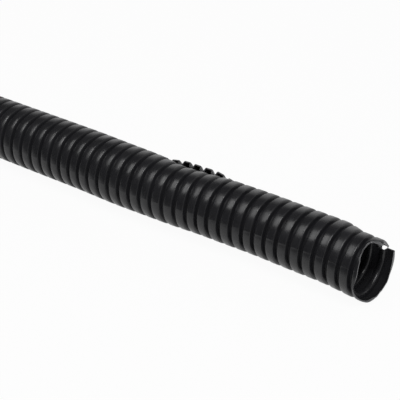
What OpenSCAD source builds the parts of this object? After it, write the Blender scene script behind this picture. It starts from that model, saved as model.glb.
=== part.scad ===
// Split corrugated conduit, a cut length of moulded plastic hose that wires are pushed into
// through a slit along its side. It lies on z = 0 with its cut mouth pointing to +X. Coiled stock
// never lies quite straight, so its back half bends a little towards -Y at the middle groove.
// Millimetres throughout. The whole length is one moulding, so it is one node.

/* [Ends] */

// Length along the axis, from the plain end to the middle of the mouth
length = 1000; // [100:10:2000]

// Lean of the hand-cut mouth away from a square cut, in degrees
mouth_lean = 7; // [0:0.5:12]

/* [Set] */

// Bend that the coil has left at the middle of the length, in degrees
set_bend = 2.5; // [0.5:0.5:6]

/* [Section] */

// Diameter over the corrugation crests
outer_d = 23.6; // [22.4:0.1:28]

// Free bore between the inner ridges
bore_d = 19.2; // [14:0.1:20.4]

// Wall, the same all along the wave
wall = 0.5; // [0.35:0.05:0.8]

/* [Corrugation] */

// Spacing from crest to crest
pitch = 4.9; // [4.6:0.1:7]

// Axial width of a crest, shoulders included
crest_w = 3.1; // [2.6:0.1:3.3]

// Axial width of a groove's floor on the outside
groove_w = 1; // [0.8:0.1:1.3]

// Radius that rounds a crest's two shoulders on the outside
shoulder_r = 0.6; // [0.3:0.05:0.9]

/* [Slit] */

// Gap that the slit stands open by, measured at the crests
slit_gap = 0.8; // [0.3:0.1:3]

// Where the slit lies, in degrees from the top towards the back
slit_clock = 60; // [0:5:355]

/* [Hidden] */

$fn = 72;

// Flat steps that each rounded shoulder is turned in
shoulder_steps = 2;

crest_r = outer_d / 2;
ridge_r = bore_d / 2;
groove_r = ridge_r + wall;

// A flank runs from the groove floor up to the crest over this axial distance
flank_run = (pitch - crest_w - groove_w) / 2;
flank_lean = atan(flank_run / (crest_r - groove_r));

// The wall measured along the axis where it passes through a leaning flank
flank_wall = wall / cos(flank_lean);

slit_angle = 2 * asin(slit_gap / outer_d);

// Each half starts at the bend, in the middle of a groove. The front half's cut passes through
// the middle of its last crest on the axis.
front_run = (round(length / pitch / 2) - 0.5) * pitch;
back_run = length - front_run;

// The part's box, with the bend at the origin and the front half along X, sets its own origin
mouth_x = front_run + crest_r * tan(mouth_lean);
plain_end_x = -back_run * cos(set_bend) - crest_r * sin(set_bend);
plain_end_y = -back_run * sin(set_bend) - crest_r * cos(set_bend);
middle_x = (mouth_x + plain_end_x) / 2;
middle_y = (crest_r + plain_end_y) / 2;

// One shoulder as points [along the axis, radius], from the flank up on to the crest.
function shoulder(r, top) = [
    for (i = [0 : shoulder_steps])
        let (a = 90 * i / shoulder_steps)
            [r * (1 - cos(a)), top - r * (1 - sin(a))]
];

// Mirrors a run of points about a crest's middle, so that it leads down the other side.
function mirrored(points) = [
    for (i = [len(points) - 1 : -1 : 0]) [-points[i][0], points[i][1]]
];

// Half of one crest's outside: groove floor, flank and rounded shoulder.
function outer_half() = concat(
    [[-crest_w / 2 - flank_run, groove_r]],
    [for (p = shoulder(shoulder_r, crest_r)) [p[0] - crest_w / 2, p[1]]]
);

// Half of one crest's inside: the end of an inner ridge, its flank and the channel's roof.
function inner_half() =
    let (
        roof_r = crest_r - wall,
        side = crest_w / 2 - flank_wall
    ) [
        [-side - flank_run, ridge_r],
        [-side, roof_r]
    ];

// A half wave repeated along one half, from the crest behind the bend to one past its end.
function wave(half, run) = [
    for (x = [-pitch / 2 : pitch : run + pitch])
        for (p = concat(half, mirrored(half)))
            [x + p[0], p[1]]
];

function reversed(points) = [for (i = [len(points) - 1 : -1 : 0]) points[i]];

// The wall's section on one side of the axis.
module wall_section(run) {
    outside = wave(outer_half(), run);
    inside = wave(inner_half(), run);
    polygon([for (p = concat(outside, reversed(inside))) [p[1], p[0]]]);
}

// The corrugated wall turned almost all the way round: what is left open is the slit.
module slit_tube(run) {
    rotate([0, 90, 0])
        rotate([0, 0, 180 - slit_clock + slit_angle / 2])
            rotate_extrude(angle = 360 - slit_angle)
                wall_section(run);
}

// What a cut at x takes off on its +X side, clear of the tube all round. turn leans the cut
// about the vertical, and a turn of 180 takes off the other side.
module offcut(x, turn) {
    waste = 4 * pitch;
    reach = 2 * outer_d;
    translate([x, 0, 0])
        rotate([0, 0, turn])
            translate([0, -reach / 2, -reach / 2])
                cube([waste, reach, reach]);
}

// A half runs from the bend towards +X and leans by half the bend towards -Y, so that both
// halves meet at x = 0 when one of them is mirrored there.
module half(run, end_lean) {
    difference() {
        rotate([0, 0, -set_bend / 2])
            difference() {
                slit_tube(run);
                offcut(run, -end_lean);
            }
        offcut(0, 180);
    }
}

module conduit() {
    color([0.05, 0.05, 0.055])
        translate([-middle_x, -middle_y, crest_r])
            rotate([0, 0, set_bend / 2]) {
                half(front_run, mouth_lean);
                mirror([1, 0, 0])
                    half(back_run, 0);
            }
}

conduit();
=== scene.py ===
"""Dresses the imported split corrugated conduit: moulded wall, slit lips, hand-cut mouth and studio.

Metres throughout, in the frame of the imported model: the front half lies along X with its cut mouth
at +X, the back half bends a little towards -Y, and the surface the conduit lies on is z = 0.
"""

import logging
import math
from collections.abc import Sequence
from dataclasses import dataclass, field
from enum import Enum

import bmesh
import bpy
from mathutils import Matrix, Vector


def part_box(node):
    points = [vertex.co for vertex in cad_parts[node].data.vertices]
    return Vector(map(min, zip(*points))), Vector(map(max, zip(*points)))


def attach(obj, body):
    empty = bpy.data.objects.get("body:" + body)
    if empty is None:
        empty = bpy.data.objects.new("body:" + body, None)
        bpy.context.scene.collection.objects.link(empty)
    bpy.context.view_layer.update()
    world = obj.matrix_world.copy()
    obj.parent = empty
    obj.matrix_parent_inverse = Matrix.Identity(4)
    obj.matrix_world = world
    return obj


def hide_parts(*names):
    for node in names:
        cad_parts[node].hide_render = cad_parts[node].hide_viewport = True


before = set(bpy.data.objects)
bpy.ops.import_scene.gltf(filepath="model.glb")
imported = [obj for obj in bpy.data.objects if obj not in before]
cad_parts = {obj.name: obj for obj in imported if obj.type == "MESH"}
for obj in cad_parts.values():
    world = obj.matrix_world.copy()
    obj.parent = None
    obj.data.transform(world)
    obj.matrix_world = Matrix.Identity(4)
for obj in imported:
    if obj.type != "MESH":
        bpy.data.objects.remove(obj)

LOG = logging.getLogger("conduit")
MM = 0.001
TINY = 1e-9
SLIVER = 1e-7
WELD = 1e-6

# The layers that tell the plastic how deep a point lies in a hollow, which sets the painted shade
# there, and which faces were cut.
HOLLOW = "hollow"
FRESH_CUT = "fresh_cut"

Point2 = tuple[float, float]

# Where the wall's columns lie next to a lip, in degrees round from it, near and far from the mouth.
CLOSE_TO_LIP = (0.0, 2.0, 5.0, 9.0, 14.0, 20.0)
CLOSE_TO_PLAIN_LIP = (0.0, 6.0, 15.0)

# The point that the camera looks at, from the middle of the mouth.
VIEW_FROM_MOUTH = (-75.2 * MM, 0.9 * MM, 1.4 * MM)

# How far the axis sways towards the back, by crests back from the mouth.
SWAY = (
    (1.0, 0.3 * MM),
    (5.0, 0.35 * MM),
    (9.0, 0.7 * MM),
    (13.0, 0.3 * MM),
    (17.0, -0.7 * MM),
    (21.0, -0.6 * MM),
    (26.0, 0.0),
)

# How far the knife strayed from its leaning plane, by degrees from the top towards the back.
STRAY = (
    (0.0, 1.6 * MM),
    (12.0, 1.7 * MM),
    (30.0, 0.6 * MM),
    (56.0, 0.1 * MM),
    (66.0, 0.05 * MM),
    (104.0, 0.35 * MM),
    (118.0, 0.75 * MM),
    (146.0, 1.6 * MM),
    (167.0, 2.0 * MM),
    (188.0, 2.85 * MM),
    (201.0, 2.9 * MM),
    (208.0, 1.3 * MM),
    (240.0, 0.35 * MM),
    (250.0, 0.2 * MM),
    (285.0, 1.5 * MM),
    (304.0, 0.95 * MM),
    (320.0, -0.05 * MM),
    (336.0, -1.35 * MM),
    (347.0, -0.8 * MM),
    (360.0, 1.6 * MM),
)


def smooth(t: float) -> float:
    """Return an eased step from 0 to 1 as t goes from 0 to 1."""
    t = min(max(t, 0.0), 1.0)
    return t * t * (3.0 - 2.0 * t)


@dataclass(frozen=True)
class Stations:
    """A value that eases from one station to the next along the conduit or round its rim.

    Each station is a place and the value there. The place is a count of crests back from the
    mouth, or degrees from the top towards the back.
    """

    stops: tuple[Point2, ...]

    def at(self, place: float) -> float:
        """Return the value at one place.

        Args:
            place: Where the value is wanted, counted as the stations are.

        Returns:
            The eased value between the two nearest stations.
        """
        if place <= self.stops[0][0]:
            return self.stops[0][1]
        for (a, low), (b, high) in zip(self.stops, self.stops[1:]):
            if place <= b:
                return low + (high - low) * smooth((place - a) / (b - a))
        return self.stops[-1][1]


class Detail(Enum):
    """How finely a run of crests is meshed: shoulder steps, root steps and columns' spacing."""

    FINE = (3, 2, 7.0)
    CLEAR = (2, 1, 7.0)
    PLAIN = (1, 0, 18.5)

    @property
    def shoulder_steps(self) -> int:
        """Flat steps that round one crest shoulder."""
        return self.value[0]

    @property
    def root_steps(self) -> int:
        """Flat steps that round one corner of a groove's floor."""
        return self.value[1]

    @property
    def spacing(self) -> float:
        """Degrees between two columns of the wall, away from the lips."""
        return self.value[2]


@dataclass(frozen=True)
class Rim:
    """One point of the wall's section, outside and inside, measured from a crest's middle."""

    outer: Point2
    inner: Point2


@dataclass(frozen=True)
class WaveSection:
    """The section of the corrugated wall along the axis."""

    crest_radius: float
    pitch: float = 5.1 * MM
    bore: float = 19.2 * MM
    wall: float = 0.5 * MM
    crest_width: float = 3.1 * MM
    groove_width: float = 1.0 * MM
    shoulder: float = 0.45 * MM
    root: float = 0.22 * MM
    top_share: float = 0.3

    def depth(self, radius: float) -> float:
        """Return how deep in a groove a radius lies, from 0 on a crest to 1 on the floor."""
        groove = self.bore / 2 + self.wall
        return min(max((self.crest_radius - radius) / (self.crest_radius - groove), 0.0), 1.0)

    def channel(self, radius: float) -> float:
        """Return how deep in an inner channel a radius lies, from 0 on a ridge to 1 at the roof."""
        ridge, roof = self.bore / 2, self.crest_radius - self.wall
        return min(max((radius - ridge) / (roof - ridge), 0.0), 1.0)

    def corners(self) -> list[Point2]:
        """Return the outside's sharp corners over one wave, from groove middle to groove middle."""
        groove = self.bore / 2 + self.wall
        foot = self.pitch / 2 - self.groove_width / 2
        rise = self.crest_radius - groove
        lean = (foot - self.crest_width / 2) / rise
        top = foot - lean * rise - lean * self.shoulder * self.top_share
        half = [(-self.pitch / 2, groove), (-foot, groove), (-top, self.crest_radius)]
        return half + [(-x, r) for x, r in reversed(half)]

    def wave(self, detail: Detail) -> list[Rim]:
        """Round the corners of one wave and give the wall its thickness.

        Args:
            detail: How many flat steps each corner gets.

        Returns:
            The points of one wave in order along the axis, without the last groove's middle.
        """
        marks = self.corners()
        rims: list[Rim] = []
        for before, corner, after in zip(marks, marks[1:], marks[2:]):
            rising = abs(corner[1] - self.crest_radius) < TINY
            radius = self.shoulder if rising else self.root
            steps = detail.shoulder_steps if rising else detail.root_steps
            rims += self.corner_rims(before, corner, after, radius, steps)
        return rims

    def corner_rims(
        self, before: Point2, corner: Point2, after: Point2, radius: float, steps: int
    ) -> list[Rim]:
        """Turn one sharp corner into an arc of flat steps.

        Args:
            before: The corner before this one.
            corner: The corner to round.
            after: The corner after this one.
            radius: The arc's radius on the outside.
            steps: Flat steps in the arc, or 0 to leave the corner sharp.

        Returns:
            The arc's points with the wall's inside behind them.
        """
        into = Vector(corner) - Vector(before)
        away = Vector(after) - Vector(corner)
        start = math.atan2(into.y, into.x)
        turn = math.atan2(away.y, away.x) - start
        if steps == 0:
            middle = start + turn / 2
            depth = self.wall / math.cos(turn / 2)
            inside = (corner[0] + depth * math.sin(middle), corner[1] - depth * math.cos(middle))
            return [Rim(corner, inside)]
        reach = radius * math.tan(abs(turn) / 2)
        side = 1.0 if turn < 0 else -1.0
        first = Vector(corner) - into.normalized() * reach
        hub = first + side * radius * Vector((math.sin(start), -math.cos(start)))
        rims = []
        for i in range(steps + 1):
            angle = start + turn * i / steps
            normal = Vector((-math.sin(angle), math.cos(angle)))
            skin = hub + side * radius * normal
            back = skin - self.wall * normal
            rims.append(Rim((skin.x, skin.y), (back.x, back.y)))
        return rims


@dataclass(frozen=True)
class HandCut:
    """The mouth's cut, which leans and wavers a little where the knife went round."""

    lean: float = 7.0
    waver: Stations = Stations(STRAY)

    def reach(self, radius: float, clock: float) -> float:
        """Return how far past the middle of the first crest the wall goes before the cut.

        Args:
            radius: Distance from the axis.
            clock: Degrees from the top towards the back.
        """
        sideways = radius * math.sin(math.radians(clock))
        return sideways * math.tan(math.radians(self.lean)) + self.waver.at(clock % 360.0)


@dataclass(frozen=True)
class Route:
    """The conduit's axis: straight from the mouth but for a slight sway, then one slow bend.

    Places are metres along the axis, 0 at the mouth and falling towards the plain end.
    """

    mouth: tuple[float, float, float]
    to_bend: float
    sway: Stations
    pitch: float
    bend: float = math.radians(2.5)
    spread: float = 160.0 * MM
    step: float = 0.5 * MM

    def still(self, along: float) -> tuple[Vector, float]:
        """Return the axis point without the sway, and the axis's turn there in radians."""
        back = -along
        start = self.to_bend - self.spread / 2
        radius = self.spread / self.bend
        turn = self.bend * min(max((back - start) / self.spread, 0.0), 1.0)
        straight = min(back, start)
        rest = max(back - start - self.spread, 0.0)
        x = straight + radius * math.sin(turn) + rest * math.cos(turn)
        y = radius * (1.0 - math.cos(turn)) + rest * math.sin(turn)
        return Vector(self.mouth) - Vector((x, y, 0.0)), turn

    def at(self, along: float) -> tuple[Vector, Vector]:
        """Return the axis point and the level direction square to the axis, towards the back."""
        point, turn = self.still(along)
        ahead = self.sway.at(-(along + self.step) / self.pitch)
        behind = self.sway.at(-(along - self.step) / self.pitch)
        heading = turn + math.atan2(ahead - behind, 2.0 * self.step)
        across = Vector((-math.sin(turn), math.cos(turn), 0.0))
        offset = self.sway.at(-along / self.pitch)
        return point + offset * across, Vector((-math.sin(heading), math.cos(heading), 0.0))


@dataclass(frozen=True)
class Slit:
    """The slit's two lips and how they part along the conduit.

    The far lip is the one beyond the slit from the top. Turns are in degrees away from the
    slit's middle and lifts are in metres away from the axis.
    """

    clock: float = 60.0
    reach: float = 70.0
    far_turn: Stations = Stations(((0.0, 23.0), (1.0, 21.0), (2.4, 7.0), (3.6, 0.6)))
    near_turn: Stations = Stations(((-0.4, 8.0), (1.2, 3.5), (3.0, 0.6)))
    far_lift: Stations = Stations(
        (
            (-0.4, 0.3 * MM),
            (3.0, 0.0),
            (12.5, 0.0),
            (14.5, 1.7 * MM),
            (16.8, 1.7 * MM),
            (18.8, 0.0),
        )
    )
    near_lift: Stations = Stations(
        (
            (-0.4, -2.5 * MM),
            (1.0, -2.0 * MM),
            (3.0, 0.0),
            (12.0, 0.0),
            (15.0, -0.7 * MM),
            (17.0, -0.7 * MM),
            (19.5, 0.0),
        )
    )

    def fade(self, distance: float) -> float:
        """Return how much a place takes part in its lip's movement, from 1 at the lip to 0."""
        return smooth(1.0 - distance / self.reach)


@dataclass(frozen=True)
class Loosening:
    """How the slit conduit gives way: its turn about the axis and the spread of its mouth."""

    twist: float = -0.9
    twist_crests: float = 20.0
    flare: Stations = Stations(
        (
            (-0.5, 0.45 * MM),
            (3.0, 0.0),
            (16.0, 0.0),
            (22.0, 0.45 * MM),
            (27.0, 0.45 * MM),
            (60.0, 0.0),
        )
    )
    skew: Stations = Stations(((2.0, 0.4 * MM), (9.0, 0.0)))
    rise: Stations = Stations(((-0.5, 0.45 * MM), (4.0, 1.3 * MM), (40.0, 1.0 * MM), (90.0, 0.0)))

    def turn(self, crest: float) -> float:
        """Return the section's turn in degrees at a count of crests back from the mouth."""
        return self.twist * min(max(crest, 0.0), self.twist_crests)

    def lead(self, crest: float, clock: float) -> float:
        """Return how far the far side of a ring leads its near side.

        Args:
            crest: How many crests back from the mouth the ring is.
            clock: Degrees from the top towards the back.
        """
        return self.skew.at(crest) * (1.0 + math.sin(math.radians(clock))) / 2.0


@dataclass
class Conduit:
    """The one moulded length, with its corrugated wall, slit and two cut ends."""

    low: Vector
    high: Vector
    length: float = 1000.0 * MM
    slit: Slit = field(default_factory=Slit)
    cut: HandCut = field(default_factory=HandCut)
    fine_crests: int = 14
    clear_crests: int = 23
    sway: Stations = Stations(SWAY)
    loosening: Loosening = field(default_factory=Loosening)
    seam_clock: float = 293.0
    seam_height: Stations = Stations(((7.0, 0.075 * MM), (11.0, 0.02 * MM)))
    seam_half: float = 0.9
    # How much of the grooves' painted shade the inner channels get.
    seam_clear: float = 2.2
    channel_shade_share: float = 0.35
    sharp_angle: float = math.radians(50.0)

    def __post_init__(self) -> None:
        """Work out the section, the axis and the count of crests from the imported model's box."""
        self.radius = (self.high.z - self.low.z) / 2
        self.section = WaveSection(crest_radius=self.radius)
        pitch = self.section.pitch
        mouth = (
            self.high.x - self.radius * math.tan(math.radians(self.cut.lean)),
            self.high.y - self.radius,
            self.low.z + self.radius,
        )
        to_bend = (round(self.length / pitch / 2) - 0.5) * pitch
        self.route = Route(mouth=mouth, to_bend=to_bend, sway=self.sway, pitch=pitch)
        self.crest_count = math.ceil(self.length / pitch) + 1

    def columns(self, detail: Detail) -> list[float]:
        """Place the wall's columns round the axis, closer together at the lips and seams.

        Args:
            detail: How far apart the columns lie away from the lips.

        Returns:
            Degrees round from the far lip, in rising order, from 0 to 360.
        """
        close = CLOSE_TO_PLAIN_LIP if detail is Detail.PLAIN else CLOSE_TO_LIP
        spots = set(close) | {360.0 - c for c in close}
        count = round((360.0 - 2.0 * close[-1]) / detail.spacing)
        spots |= {close[-1] + (360.0 - 2.0 * close[-1]) * i / count for i in range(1, count)}
        if detail is Detail.PLAIN:
            return sorted(spots)
        for seam in (self.seam_clock, self.seam_clock - 180.0):
            middle = (seam - self.slit.clock) % 360.0
            spots = {s for s in spots if abs(s - middle) > self.seam_clear * self.seam_half}
            spots |= {middle - self.seam_half, middle, middle + self.seam_half}
        return sorted(spots)

    def seam_raise(self, along: float, clock: float, radius: float) -> float:
        """Return how far the mould's parting line stands out at a place on the outside.

        Args:
            along: Place along the axis, 0 at the mouth.
            clock: Degrees from the top towards the back, before the conduit's twist.
            radius: Distance from the axis.
        """
        groove = self.section.bore / 2 + self.section.wall
        share = (radius - groove) / (self.radius - groove)
        for seam in (self.seam_clock, self.seam_clock - 180.0):
            if abs((clock - seam + 180.0) % 360.0 - 180.0) < 0.5 * self.seam_half:
                return self.seam_height.at(-along / self.section.pitch) * smooth(share)
        return 0.0

    def place(self, along: float, radius: float, round_from_lip: float) -> Vector:
        """Put one point of the wall where the lips' movement and the axis carry it.

        Args:
            along: Place along the axis, 0 at the mouth.
            radius: Distance from the axis.
            round_from_lip: Degrees round from the slit's middle, 0 at the far lip.

        Returns:
            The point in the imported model's frame.
        """
        crest = -along / self.section.pitch
        slit = self.slit
        far = slit.fade(round_from_lip)
        near = slit.fade(360.0 - round_from_lip)
        clock = slit.clock + round_from_lip + self.loosening.turn(crest)
        clock += far * slit.far_turn.at(crest) - near * slit.near_turn.at(crest)
        flare = self.loosening.flare.at(crest)
        radius += flare + far * slit.far_lift.at(crest) + near * slit.near_lift.at(crest)
        angle = math.radians(clock)
        middle, across = self.route.at(along + self.loosening.lead(crest, clock))
        up = Vector((0.0, 0.0, 1.0))
        middle = middle + self.loosening.rise.at(crest) * up
        return middle + radius * (math.sin(angle) * across + math.cos(angle) * up)

    def ends(self, round_from_lip: float) -> Point2:
        """Return where the wall starts and stops along the axis at one place round it."""
        return -self.length, self.cut.reach(self.radius, self.slit.clock + round_from_lip)

    def trimmed(self, line: Sequence[Point2], round_from_lip: float) -> list[Point2]:
        """Trim one column of the wall to the two ends.

        Args:
            line: The column's points as place along the axis and radius, in rising order.
            round_from_lip: Degrees round from the far lip.

        Returns:
            As many points, with those past an end drawn back on to it.
        """
        start, stop = self.ends(round_from_lip)
        points = list(line)
        for limit, sign in ((start, 1.0), (stop, -1.0)):
            for i, (x, _) in enumerate(points):
                if sign * (x - limit) >= 0.0:
                    continue
                step = int(sign)
                j = i
                while sign * (points[j][0] - limit) < 0.0:
                    j += step
                (xa, ra), (xb, rb) = points[j - step], points[j]
                share = (limit - xa) / (xb - xa) if abs(xb - xa) > 1e-12 else 0.0
                edge = (limit, ra + (rb - ra) * share)
                if sign > 0:
                    points[:j] = [edge] * j
                else:
                    points[j + 1 :] = [edge] * (len(points) - j - 1)
                break
        return points

    def mesh(self) -> bpy.types.Mesh:
        """Build the whole wall as one closed mesh.

        Returns:
            The mesh, with its sharp edges marked, its hollows' depth noted for their painted shade
            and its cut faces noted.
        """
        bm = bmesh.new()
        bm.verts.layers.float.new(HOLLOW)
        fresh = bm.faces.layers.float.new(FRESH_CUT)
        rows: list[tuple[list[float], list[bmesh.types.BMVert], list[bmesh.types.BMVert]]] = []
        for detail, first, last in self.runs():
            rows += self.run_rows(bm, detail, first, last)
        for (cols_a, out_a, in_a), (cols_b, out_b, in_b) in zip(rows, rows[1:]):
            self.zip_rows(bm, cols_a, out_a, cols_b, out_b, False)
            self.zip_rows(bm, cols_a, in_a, cols_b, in_b, True)
            bm.faces.new((out_a[0], out_b[0], in_b[0], in_a[0]))
            bm.faces.new((in_a[-1], in_b[-1], out_b[-1], out_a[-1]))
        for cols, outer, inner in (rows[0], rows[-1]):
            for j in range(len(cols) - 1):
                ring = (outer[j], outer[j + 1], inner[j + 1], inner[j])
                face = bm.faces.new(ring if outer is rows[-1][1] else ring[::-1])
                face[fresh] = 1.0
        bmesh.ops.remove_doubles(bm, verts=bm.verts, dist=WELD)
        bmesh.ops.dissolve_degenerate(bm, edges=bm.edges, dist=SLIVER)
        bmesh.ops.recalc_face_normals(bm, faces=bm.faces)
        mesh = bpy.data.meshes.new("conduit_wall")
        bm.to_mesh(mesh)
        bm.free()
        for polygon in mesh.polygons:
            polygon.use_smooth = True
        mesh.set_sharp_from_angle(angle=self.sharp_angle)
        return mesh

    def runs(self) -> list[tuple[Detail, int, int]]:
        """Return each run's detail and its last and first crest, from the plain end forwards."""
        clear = self.fine_crests + self.clear_crests
        return [
            (Detail.PLAIN, self.crest_count, clear),
            (Detail.CLEAR, clear - 1, self.fine_crests),
            (Detail.FINE, self.fine_crests - 1, -1),
        ]

    def run_rows(
        self, bm: bmesh.types.BMesh, detail: Detail, back: int, front: int
    ) -> list[tuple[list[float], list[bmesh.types.BMVert], list[bmesh.types.BMVert]]]:
        """Make the points of one run of crests.

        Args:
            bm: The mesh being built.
            detail: The run's detail.
            back: The crest furthest from the mouth.
            front: The crest nearest the mouth.

        Returns:
            Row after row towards the mouth: its columns, outside points and inside points.
        """
        wave = self.section.wave(detail)
        crests = range(back, front - 1, -1)
        places = [(-k * self.section.pitch, rim) for k in crests for rim in wave]
        cols = self.columns(detail)
        outer_lines, inner_lines = [], []
        for col in cols:
            outside = [(x + rim.outer[0], rim.outer[1]) for x, rim in places]
            inside = [(x + rim.inner[0], rim.inner[1]) for x, rim in places]
            outer_lines.append(self.trimmed(outside, col))
            inner_lines.append(self.trimmed(inside, col))
        rows = []
        for i in range(len(places)):
            outer, inner = [], []
            for col, outside, inside in zip(cols, outer_lines, inner_lines):
                x, radius = outside[i]
                # Painted shade: this depth dims the outside's reflection in the grooves.
                depth = self.section.depth(radius)
                radius += self.seam_raise(x, self.slit.clock + col, radius)
                outer.append(self.vertex(bm, self.place(x, radius, col), depth))
                # Painted shade: the inner channels get a share of the same dimming.
                depth = self.channel_shade_share * self.section.channel(inside[i][1])
                inner.append(self.vertex(bm, self.place(*inside[i], col), depth))
            rows.append((cols, outer, inner))
        return rows

    @staticmethod
    def vertex(bm: bmesh.types.BMesh, spot: Vector, hollow: float) -> bmesh.types.BMVert:
        """Add one point and note how far down in a hollow it lies, from 0 to 1, for the painted
        shade there.
        """
        made = bm.verts.new(spot)
        made[bm.verts.layers.float[HOLLOW]] = hollow
        return made

    @staticmethod
    def zip_rows(
        bm: bmesh.types.BMesh,
        cols_a: Sequence[float],
        row_a: Sequence[bmesh.types.BMVert],
        cols_b: Sequence[float],
        row_b: Sequence[bmesh.types.BMVert],
        inward: bool,
    ) -> None:
        """Join two rows of points with faces, also where they have different columns.

        Args:
            bm: The mesh being built.
            cols_a: The first row's columns.
            row_a: The first row's points.
            cols_b: The second row's columns.
            row_b: The second row's points.
            inward: Whether the faces look towards the axis.
        """
        faces: list[tuple[bmesh.types.BMVert, ...]] = []
        if len(cols_a) == len(cols_b):
            for j in range(len(cols_a) - 1):
                faces.append((row_a[j], row_a[j + 1], row_b[j + 1], row_b[j]))
        else:
            i = j = 0
            while i < len(cols_a) - 1 or j < len(cols_b) - 1:
                ahead_a = cols_a[i + 1] if i < len(cols_a) - 1 else math.inf
                ahead_b = cols_b[j + 1] if j < len(cols_b) - 1 else math.inf
                if ahead_a <= ahead_b:
                    faces.append((row_a[i], row_a[i + 1], row_b[j]))
                    i += 1
                else:
                    faces.append((row_a[i], row_b[j + 1], row_b[j]))
                    j += 1
        for ring in faces:
            bm.faces.new(ring[::-1] if inward else ring)

    def build(self, finish: "ConduitPlastic") -> bpy.types.Object:
        """Make the conduit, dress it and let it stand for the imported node.

        Args:
            finish: The plastic it is moulded in.

        Returns:
            The finished object.
        """
        piece = bpy.data.objects.new("conduit_wall", self.mesh())
        bpy.context.scene.collection.objects.link(piece)
        piece.data.materials.append(finish.material())
        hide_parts("conduit")
        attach(piece, "root")
        return piece


@dataclass(frozen=True)
class Ramp:
    """A value that changes between two marks and stays level beyond them."""

    start: float
    stop: float
    first: float
    last: float
    eased: bool = False

    def add(self, tree: bpy.types.NodeTree, source: bpy.types.NodeSocket) -> bpy.types.NodeSocket:
        """Put the ramp into a node tree.

        Args:
            tree: The material's or the world's nodes.
            source: What the ramp is read at.

        Returns:
            The socket with the ramp's value.
        """
        made = tree.nodes.new("ShaderNodeMapRange")
        if self.eased:
            made.interpolation_type = "SMOOTHSTEP"
        made.inputs["From Min"].default_value = self.start
        made.inputs["From Max"].default_value = self.stop
        made.inputs["To Min"].default_value = self.first
        made.inputs["To Max"].default_value = self.last
        tree.links.new(source, made.inputs["Value"])
        return made.outputs["Result"]


def larger(
    tree: bpy.types.NodeTree, one: bpy.types.NodeSocket, other: bpy.types.NodeSocket
) -> bpy.types.NodeSocket:
    """Return a socket with the larger of two values."""
    made = tree.nodes.new("ShaderNodeMath")
    made.operation = "MAXIMUM"
    tree.links.new(one, made.inputs[0])
    tree.links.new(other, made.inputs[1])
    return made.outputs["Value"]


@dataclass(frozen=True)
class ConduitPlastic:
    """Satin black moulded plastic, with painted shade in its hollows, faint patches and a fine
    grain.
    """

    colour: tuple[float, float, float] = (0.012, 0.012, 0.0135)
    cut_colour: tuple[float, float, float] = (0.11, 0.11, 0.115)
    patch_lift: float = 1.7
    patch_scale: float = 160.0
    patch_detail: float = 5.0
    # Painted shade: the specular level falls from 0.5 to 0.08 as a hollow deepens, darkening the
    # reflections in the grooves and inner channels.
    painted_shade_specular: Ramp = Ramp(0.12, 0.5, 0.5, 0.08)
    roughness: Ramp = Ramp(0.3, 0.7, 0.21, 0.32)
    grain: float = 0.02 * MM
    grain_scale: float = 2600.0
    grain_detail: float = 3.0
    grain_strength: float = 0.35

    def material(self) -> bpy.types.Material:
        """Return the node material for the conduit's wall."""
        made = bpy.data.materials.new("black_conduit_plastic")
        made.use_nodes = True
        tree = made.node_tree
        nodes, links = tree.nodes, tree.links
        shader = nodes["Principled BSDF"]
        place = nodes.new("ShaderNodeTexCoord")
        hollow = self.attribute(tree, HOLLOW)
        # Painted shade: less specular in the hollows stands in for the shade there.
        links.new(self.painted_shade_specular.add(tree, hollow), shader.inputs["Specular IOR Level"])

        patches = self.noise(tree, place, self.patch_scale, self.patch_detail)
        links.new(self.roughness.add(tree, patches), shader.inputs["Roughness"])

        tone = nodes.new("ShaderNodeMix")
        tone.data_type = "RGBA"
        tone.inputs["A"].default_value = (*self.colour, 1.0)
        tone.inputs["B"].default_value = (*(self.patch_lift * c for c in self.colour), 1.0)
        links.new(patches, tone.inputs["Factor"])
        paled = nodes.new("ShaderNodeMix")
        paled.data_type = "RGBA"
        paled.inputs["B"].default_value = (*self.cut_colour, 1.0)
        links.new(self.attribute(tree, FRESH_CUT), paled.inputs["Factor"])
        links.new(tone.outputs["Result"], paled.inputs["A"])
        links.new(paled.outputs["Result"], shader.inputs["Base Color"])

        bump = nodes.new("ShaderNodeBump")
        bump.inputs["Strength"].default_value = self.grain_strength
        bump.inputs["Distance"].default_value = self.grain
        grain = self.noise(tree, place, self.grain_scale, self.grain_detail)
        links.new(grain, bump.inputs["Height"])
        links.new(bump.outputs["Normal"], shader.inputs["Normal"])
        return made

    @staticmethod
    def attribute(tree: bpy.types.NodeTree, name: str) -> bpy.types.NodeSocket:
        """Return a socket with the value that a layer of the mesh holds."""
        made = tree.nodes.new("ShaderNodeAttribute")
        made.attribute_name = name
        return made.outputs["Fac"]

    @staticmethod
    def noise(
        tree: bpy.types.NodeTree, place: bpy.types.Node, scale: float, detail: float
    ) -> bpy.types.NodeSocket:
        """Return a socket with a noise of the given scale and detail, fixed to the conduit."""
        made = tree.nodes.new("ShaderNodeTexNoise")
        made.inputs["Scale"].default_value = scale
        made.inputs["Detail"].default_value = detail
        tree.links.new(place.outputs["Object"], made.inputs["Vector"])
        return made.outputs["Fac"]


@dataclass(frozen=True)
class SoftBox:
    """One soft lamp: where it hangs from the point the camera looks at, and its size and power.

    The size is its width along the conduit and its height across it.
    """

    name: str
    spot: tuple[float, float, float]
    size: Point2
    watts: float


SOFT_BOXES = (
    SoftBox("soft_box_over", (-0.32, -0.38, 0.81), (0.38, 0.55), 1.95),
    SoftBox("soft_box_mouth", (0.35, -0.32, 0.9), (0.3, 0.5), 5.0),
)


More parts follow.
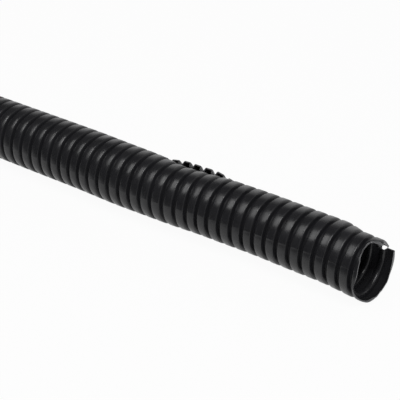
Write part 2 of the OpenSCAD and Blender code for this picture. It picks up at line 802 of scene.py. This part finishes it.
@dataclass
class Studio:
    """The pale floor, the soft lamps, the white surroundings and the camera."""

    aim: Vector
    azimuth: float = 36.3
    elevation: float = 30.8
    distance: float = 0.4886
    lens: float = 116.3
    sensor: float = 36.0
    nearest: float = 0.01
    floor_half: float = 6.0
    floor_paint: float = 0.8
    own_white: float = 0.95
    front_fade: Ramp = Ramp(-72.0 * MM, -20.0 * MM, 0.05, 0.75, eased=True)
    backdrop: Ramp = Ramp(0.48, 0.86, 0.05, 0.95, eased=True)
    side_light: Ramp = Ramp(0.45, 0.95, 0.0, 0.6, eased=True)

    def floor(self) -> bpy.types.Object:
        """Lay the plain pale floor, which keeps a faint shadow of the conduit."""
        bm = bmesh.new()
        bmesh.ops.create_grid(bm, x_segments=1, y_segments=1, size=self.floor_half)
        mesh = bpy.data.meshes.new("studio_floor")
        bm.to_mesh(mesh)
        bm.free()
        floor = bpy.data.objects.new("studio_floor", mesh)
        bpy.context.scene.collection.objects.link(floor)
        floor.data.materials.append(self.floor_material())
        return floor

    def floor_material(self) -> bpy.types.Material:
        """Return the floor's white, mostly its own glow for camera, glossy and clear rays."""
        made = bpy.data.materials.new("studio_white")
        made.use_nodes = True
        tree = made.node_tree
        nodes, links = tree.nodes, tree.links
        nodes.clear()
        paint = nodes.new("ShaderNodeBsdfDiffuse")
        paint.inputs["Color"].default_value = (*(3 * (self.floor_paint,)), 1.0)
        glow = nodes.new("ShaderNodeEmission")
        links.new(self.sheet(tree), glow.inputs["Strength"])
        share = nodes.new("ShaderNodeMath")
        share.operation = "MULTIPLY"
        share.inputs[1].default_value = self.own_white
        links.new(self.seen_straight(tree), share.inputs[0])
        mix = nodes.new("ShaderNodeMixShader")
        links.new(share.outputs["Value"], mix.inputs["Fac"])
        links.new(paint.outputs["BSDF"], mix.inputs[1])
        links.new(glow.outputs["Emission"], mix.inputs[2])
        out = nodes.new("ShaderNodeOutputMaterial")
        links.new(mix.outputs["Shader"], out.inputs["Surface"])
        return made

    def sheet(self, tree: bpy.types.NodeTree) -> bpy.types.NodeSocket:
        """Return the floor's glow: white to the camera, and falling off in front for glossy rays."""
        place = tree.nodes.new("ShaderNodeNewGeometry")
        split = tree.nodes.new("ShaderNodeSeparateXYZ")
        tree.links.new(place.outputs["Position"], split.inputs["Vector"])
        path = tree.nodes.new("ShaderNodeLightPath")
        faded = self.front_fade.add(tree, split.outputs["Y"])
        return larger(tree, faded, path.outputs["Is Camera Ray"])

    @staticmethod
    def seen_straight(tree: bpy.types.NodeTree) -> bpy.types.NodeSocket:
        """Return a socket that is 1 for camera, glossy and transmission rays and 0 for the rest."""
        path = tree.nodes.new("ShaderNodeLightPath")
        first = larger(tree, path.outputs["Is Camera Ray"], path.outputs["Is Glossy Ray"])
        return larger(tree, first, path.outputs["Is Transmission Ray"])

    def surroundings(self) -> None:
        """Set the world: white to the camera, and for the rest a dark room, pale behind."""
        world = bpy.data.worlds.new("studio_room")
        bpy.context.scene.world = world
        world.use_nodes = True
        tree = world.node_tree
        nodes, links = tree.nodes, tree.links
        nodes.clear()
        place = nodes.new("ShaderNodeTexCoord")
        split = nodes.new("ShaderNodeSeparateXYZ")
        links.new(place.outputs["Generated"], split.inputs["Vector"])
        behind = self.backdrop.add(tree, split.outputs["Y"])
        beside = self.side_light.add(tree, split.outputs["X"])
        room = nodes.new("ShaderNodeBackground")
        room.inputs["Color"].default_value = (1.0, 1.0, 1.0, 1.0)
        links.new(larger(tree, behind, beside), room.inputs["Strength"])
        white = nodes.new("ShaderNodeBackground")
        white.inputs["Color"].default_value = (1.0, 1.0, 1.0, 1.0)
        white.inputs["Strength"].default_value = 1.0
        path = nodes.new("ShaderNodeLightPath")
        mix = nodes.new("ShaderNodeMixShader")
        links.new(path.outputs["Is Camera Ray"], mix.inputs["Fac"])
        links.new(room.outputs["Background"], mix.inputs[1])
        links.new(white.outputs["Background"], mix.inputs[2])
        out = nodes.new("ShaderNodeOutputWorld")
        links.new(mix.outputs["Shader"], out.inputs["Surface"])

    def lamp(self, box: SoftBox) -> bpy.types.Object:
        """Hang one soft lamp and turn it towards the point the camera looks at.

        Args:
            box: The lamp's name, place, size and power.

        Returns:
            The lamp.
        """
        spot = Vector(box.spot)
        data = bpy.data.lights.new(box.name, "AREA")
        data.shape = "RECTANGLE"
        data.size, data.size_y = box.size
        data.energy = box.watts
        lamp = bpy.data.objects.new(box.name, data)
        lamp.location = self.aim + spot
        back = spot.normalized()
        level = (Vector((1.0, 0.0, 0.0)) - back * back.x).normalized()
        lamp.rotation_euler = Matrix((level, back.cross(level), back)).transposed().to_euler()
        bpy.context.scene.collection.objects.link(lamp)
        return lamp

    def camera(self) -> bpy.types.Object:
        """Set the camera at the viewing angle."""
        data = bpy.data.cameras.new("view")
        data.lens = self.lens
        data.sensor_width = self.sensor
        data.clip_start = self.nearest
        turn, rise = math.radians(self.azimuth), math.radians(self.elevation)
        level = Vector((math.sin(turn), -math.cos(turn), 0.0))
        back = math.cos(rise) * level + Vector((0.0, 0.0, math.sin(rise)))
        camera = bpy.data.objects.new("view", data)
        camera.location = self.aim + self.distance * back
        camera.rotation_euler = back.to_track_quat("Z", "Y").to_euler()
        bpy.context.scene.collection.objects.link(camera)
        bpy.context.scene.camera = camera
        return camera

    def build(self) -> None:
        """Put the whole studio up."""
        self.camera()
        self.floor()
        self.surroundings()
        for box in SOFT_BOXES:
            self.lamp(box)
        bpy.context.scene.view_settings.view_transform = "Standard"


def main() -> None:
    """Build the conduit and its studio."""
    logging.basicConfig(level=logging.INFO, format="%(name)s: %(message)s")
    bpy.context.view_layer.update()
    low, high = (Vector(corner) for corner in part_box("conduit"))
    conduit = Conduit(low=low, high=high)
    studio = Studio(aim=Vector(conduit.route.mouth) + Vector(VIEW_FROM_MOUTH))
    studio.build()
    LOG.info("studio ready")
    piece = conduit.build(ConduitPlastic())
    triangles = sum(len(polygon.vertices) - 2 for polygon in piece.data.polygons)
    LOG.info("%s: %d triangles", piece.name, triangles)


if __name__ == "__main__":
    main()
